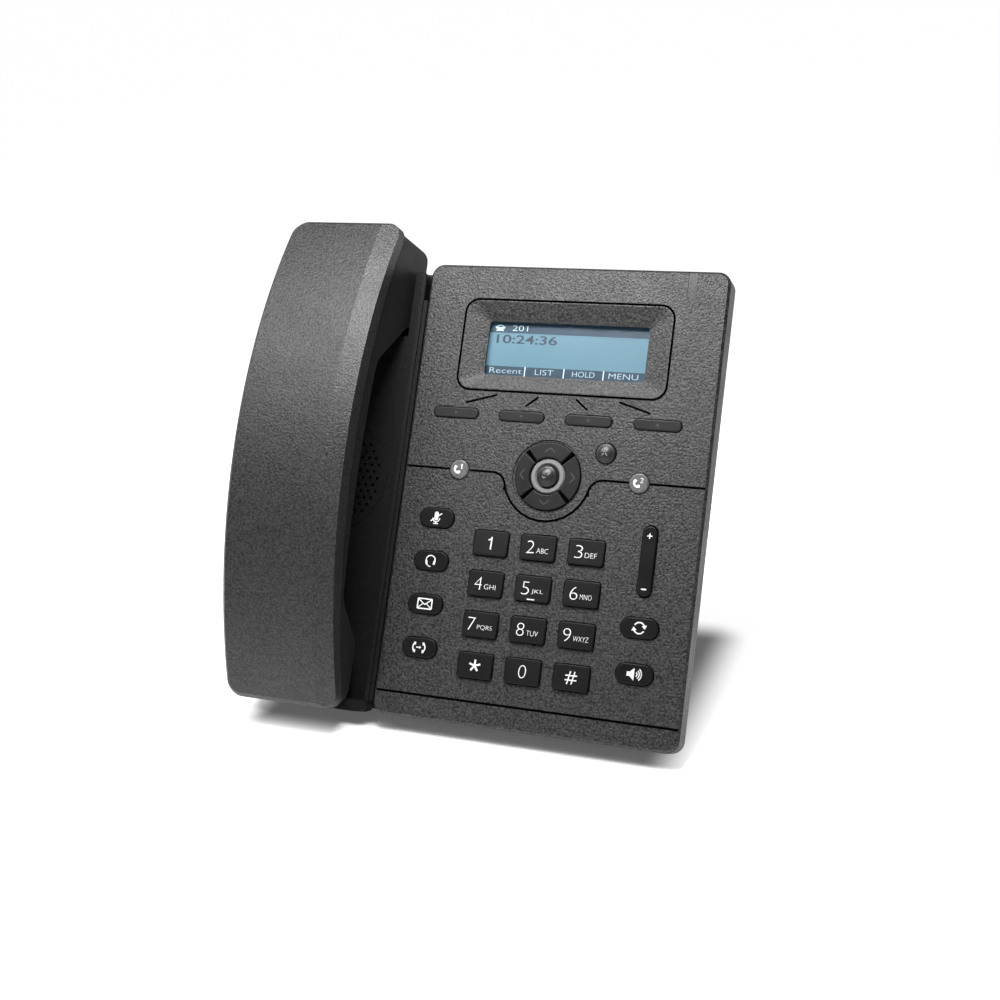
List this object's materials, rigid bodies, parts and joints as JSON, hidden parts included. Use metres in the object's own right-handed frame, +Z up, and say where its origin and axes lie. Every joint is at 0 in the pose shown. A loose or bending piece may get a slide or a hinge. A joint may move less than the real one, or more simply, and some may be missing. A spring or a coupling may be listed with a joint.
{
  "type": "desk telephone",
  "caption": "Corded desk telephone: leaned-back keypad and display panel, handset in a side cradle, rear sockets and a bent plate stand.",
  "frame": {"origin": "middle of the phone's box, at the table", "axes": "+X to the user's right, +Y away from the user, +Z up"},
  "size_m": [0.1788, 0.1312, 0.1791],
  "materials": {
    "case_plastic": "fine-grained moulded dark charcoal",
    "cradle_plastic": "satin near-black moulding",
    "key_plastic": "smooth satin dark keycap with white legend",
    "gloss_key": "polished black domed keycap",
    "translucent": "translucent grey light guide",
    "collar_plastic": "satin grey ring",
    "lens_clear": "clear display window",
    "lcd_glass": "backlit pale blue display",
    "backlight_white": "white light guide",
    "board_green": "green solder mask",
    "silicone_grey": "grey silicone",
    "rubber_black": "matt black rubber",
    "steel_screw": "zinc-plated steel",
    "port_black": "black connector plastic",
    "speaker_metal": "dark lacquered metal"
  },
  "bodies": {
    "base": {"case_screws": "steel_screw", "dc_jack": "port_black", "desk_stand": "case_plastic", "display_bezel": "case_plastic", "display_lens": "lens_clear", "front_panel": "case_plastic", "handset_cradle": "cradle_plastic", "hook_microswitch": "port_black", "keypad_membrane": "silicone_grey", "lcd_backlight": "backlight_white", "lcd_panel": "lcd_glass", "loudspeaker": "speaker_metal", "main_pcb": "board_green", "message_light_pipe": "translucent", "microphone": "speaker_metal", "nav_collar": "collar_plastic", "rear_cover": "case_plastic", "rj45_ports": "port_black", "rj9_ports": "port_black", "rubber_feet": "rubber_black", "speaker_grille": "cradle_plastic"},
    "handset": {"handset_inner_shell": "case_plastic", "handset_jack": "port_black", "handset_microphone": "speaker_metal", "handset_outer_shell": "case_plastic", "handset_receiver": "speaker_metal", "handset_screws": "steel_screw", "handset_weight": "steel_screw"},
    "hook_plunger": {"hook_plunger": "port_black"},
    "volume_rocker": {"volume_rocker": "key_plastic"},
    "key_0": {"key_0": "key_plastic"},
    "key_1": {"key_1": "key_plastic"},
    "key_2": {"key_2": "key_plastic"},
    "key_3": {"key_3": "key_plastic"},
    "key_4": {"key_4": "key_plastic"},
    "key_5": {"key_5": "key_plastic"},
    "key_6": {"key_6": "key_plastic"},
    "key_7": {"key_7": "key_plastic"},
    "key_8": {"key_8": "key_plastic"},
    "key_9": {"key_9": "key_plastic"},
    "key_hash": {"key_hash": "key_plastic"},
    "key_star": {"key_star": "key_plastic"},
    "soft_key_1": {"soft_key_1": "key_plastic"},
    "soft_key_2": {"soft_key_2": "key_plastic"},
    "soft_key_3": {"soft_key_3": "key_plastic"},
    "soft_key_4": {"soft_key_4": "key_plastic"},
    "nav_up": {"nav_up": "key_plastic"},
    "nav_down": {"nav_down": "key_plastic"},
    "nav_left": {"nav_left": "key_plastic"},
    "nav_right": {"nav_right": "key_plastic"},
    "ok_key": {"ok_key": "gloss_key"},
    "cancel_key": {"cancel_key": "gloss_key"},
    "line_key_1": {"line_key_1": "translucent"},
    "line_key_2": {"line_key_2": "translucent"},
    "mute_key": {"mute_key": "key_plastic"},
    "headset_key": {"headset_key": "key_plastic"},
    "message_key": {"message_key": "key_plastic"},
    "transfer_key": {"transfer_key": "key_plastic"},
    "redial_key": {"redial_key": "key_plastic"},
    "speaker_key": {"speaker_key": "key_plastic"}
  },
  "joints": [
    {"name": "handset_lift", "type": "slide", "parent": "base", "child": "handset", "axis": [0, -0.866, 0.5], "range_m": [0, 0.12]},
    {"name": "hook_travel", "type": "slide", "parent": "base", "child": "hook_plunger", "axis": [0, -0.866, 0.5], "range_m": [0, 0.003]},
    {"name": "volume_tilt", "type": "hinge", "parent": "base", "child": "volume_rocker", "pos_m": [0.07025, -0.01742, 0.06487], "axis": [1, 0, 0], "range_deg": [-3, 3], "stiffness_Nm_per_rad": 0.02},
    {"name": "key_0_press", "type": "slide", "parent": "base", "child": "key_0", "axis": [0, 0.866, -0.5], "range_m": [0, 0.001], "stiffness_N_per_m": 400},
    {"name": "key_1_press", "type": "slide", "parent": "base", "child": "key_1", "axis": [0, 0.866, -0.5], "range_m": [0, 0.001], "stiffness_N_per_m": 400},
    {"name": "key_2_press", "type": "slide", "parent": "base", "child": "key_2", "axis": [0, 0.866, -0.5], "range_m": [0, 0.001], "stiffness_N_per_m": 400},
    {"name": "key_3_press", "type": "slide", "parent": "base", "child": "key_3", "axis": [0, 0.866, -0.5], "range_m": [0, 0.001], "stiffness_N_per_m": 400},
    {"name": "key_4_press", "type": "slide", "parent": "base", "child": "key_4", "axis": [0, 0.866, -0.5], "range_m": [0, 0.001], "stiffness_N_per_m": 400},
    {"name": "key_5_press", "type": "slide", "parent": "base", "child": "key_5", "axis": [0, 0.866, -0.5], "range_m": [0, 0.001], "stiffness_N_per_m": 400},
    {"name": "key_6_press", "type": "slide", "parent": "base", "child": "key_6", "axis": [0, 0.866, -0.5], "range_m": [0, 0.001], "stiffness_N_per_m": 400},
    {"name": "key_7_press", "type": "slide", "parent": "base", "child": "key_7", "axis": [0, 0.866, -0.5], "range_m": [0, 0.001], "stiffness_N_per_m": 400},
    {"name": "key_8_press", "type": "slide", "parent": "base", "child": "key_8", "axis": [0, 0.866, -0.5], "range_m": [0, 0.001], "stiffness_N_per_m": 400},
    {"name": "key_9_press", "type": "slide", "parent": "base", "child": "key_9", "axis": [0, 0.866, -0.5], "range_m": [0, 0.001], "stiffness_N_per_m": 400},
    {"name": "key_hash_press", "type": "slide", "parent": "base", "child": "key_hash", "axis": [0, 0.866, -0.5], "range_m": [0, 0.001], "stiffness_N_per_m": 400},
    {"name": "key_star_press", "type": "slide", "parent": "base", "child": "key_star", "axis": [0, 0.866, -0.5], "range_m": [0, 0.001], "stiffness_N_per_m": 400},
    {"name": "soft_key_1_press", "type": "slide", "parent": "base", "child": "soft_key_1", "axis": [0, 0.866, -0.5], "range_m": [0, 0.001], "stiffness_N_per_m": 400},
    {"name": "soft_key_2_press", "type": "slide", "parent": "base", "child": "soft_key_2", "axis": [0, 0.866, -0.5], "range_m": [0, 0.001], "stiffness_N_per_m": 400},
    {"name": "soft_key_3_press", "type": "slide", "parent": "base", "child": "soft_key_3", "axis": [0, 0.866, -0.5], "range_m": [0, 0.001], "stiffness_N_per_m": 400},
    {"name": "soft_key_4_press", "type": "slide", "parent": "base", "child": "soft_key_4", "axis": [0, 0.866, -0.5], "range_m": [0, 0.001], "stiffness_N_per_m": 400},
    {"name": "nav_up_press", "type": "slide", "parent": "base", "child": "nav_up", "axis": [0, 0.866, -0.5], "range_m": [0, 0.001], "stiffness_N_per_m": 400},
    {"name": "nav_down_press", "type": "slide", "parent": "base", "child": "nav_down", "axis": [0, 0.866, -0.5], "range_m": [0, 0.001], "stiffness_N_per_m": 400},
    {"name": "nav_left_press", "type": "slide", "parent": "base", "child": "nav_left", "axis": [0, 0.866, -0.5], "range_m": [0, 0.001], "stiffness_N_per_m": 400},
    {"name": "nav_right_press", "type": "slide", "parent": "base", "child": "nav_right", "axis": [0, 0.866, -0.5], "range_m": [0, 0.001], "stiffness_N_per_m": 400},
    {"name": "ok_key_press", "type": "slide", "parent": "base", "child": "ok_key", "axis": [0, 0.866, -0.5], "range_m": [0, 0.001], "stiffness_N_per_m": 400},
    {"name": "cancel_key_press", "type": "slide", "parent": "base", "child": "cancel_key", "axis": [0, 0.866, -0.5], "range_m": [0, 0.001], "stiffness_N_per_m": 400},
    {"name": "line_key_1_press", "type": "slide", "parent": "base", "child": "line_key_1", "axis": [0, 0.866, -0.5], "range_m": [0, 0.001], "stiffness_N_per_m": 400},
    {"name": "line_key_2_press", "type": "slide", "parent": "base", "child": "line_key_2", "axis": [0, 0.866, -0.5], "range_m": [0, 0.001], "stiffness_N_per_m": 400},
    {"name": "mute_key_press", "type": "slide", "parent": "base", "child": "mute_key", "axis": [0, 0.866, -0.5], "range_m": [0, 0.001], "stiffness_N_per_m": 400},
    {"name": "headset_key_press", "type": "slide", "parent": "base", "child": "headset_key", "axis": [0, 0.866, -0.5], "range_m": [0, 0.001], "stiffness_N_per_m": 400},
    {"name": "message_key_press", "type": "slide", "parent": "base", "child": "message_key", "axis": [0, 0.866, -0.5], "range_m": [0, 0.001], "stiffness_N_per_m": 400},
    {"name": "transfer_key_press", "type": "slide", "parent": "base", "child": "transfer_key", "axis": [0, 0.866, -0.5], "range_m": [0, 0.001], "stiffness_N_per_m": 400},
    {"name": "redial_key_press", "type": "slide", "parent": "base", "child": "redial_key", "axis": [0, 0.866, -0.5], "range_m": [0, 0.001], "stiffness_N_per_m": 400},
    {"name": "speaker_key_press", "type": "slide", "parent": "base", "child": "speaker_key", "axis": [0, 0.866, -0.5], "range_m": [0, 0.001], "stiffness_N_per_m": 400}
  ],
  "couplings": [
    {"joint": "hook_travel", "follows": "handset_lift", "ratio": 0.025}
  ]
}
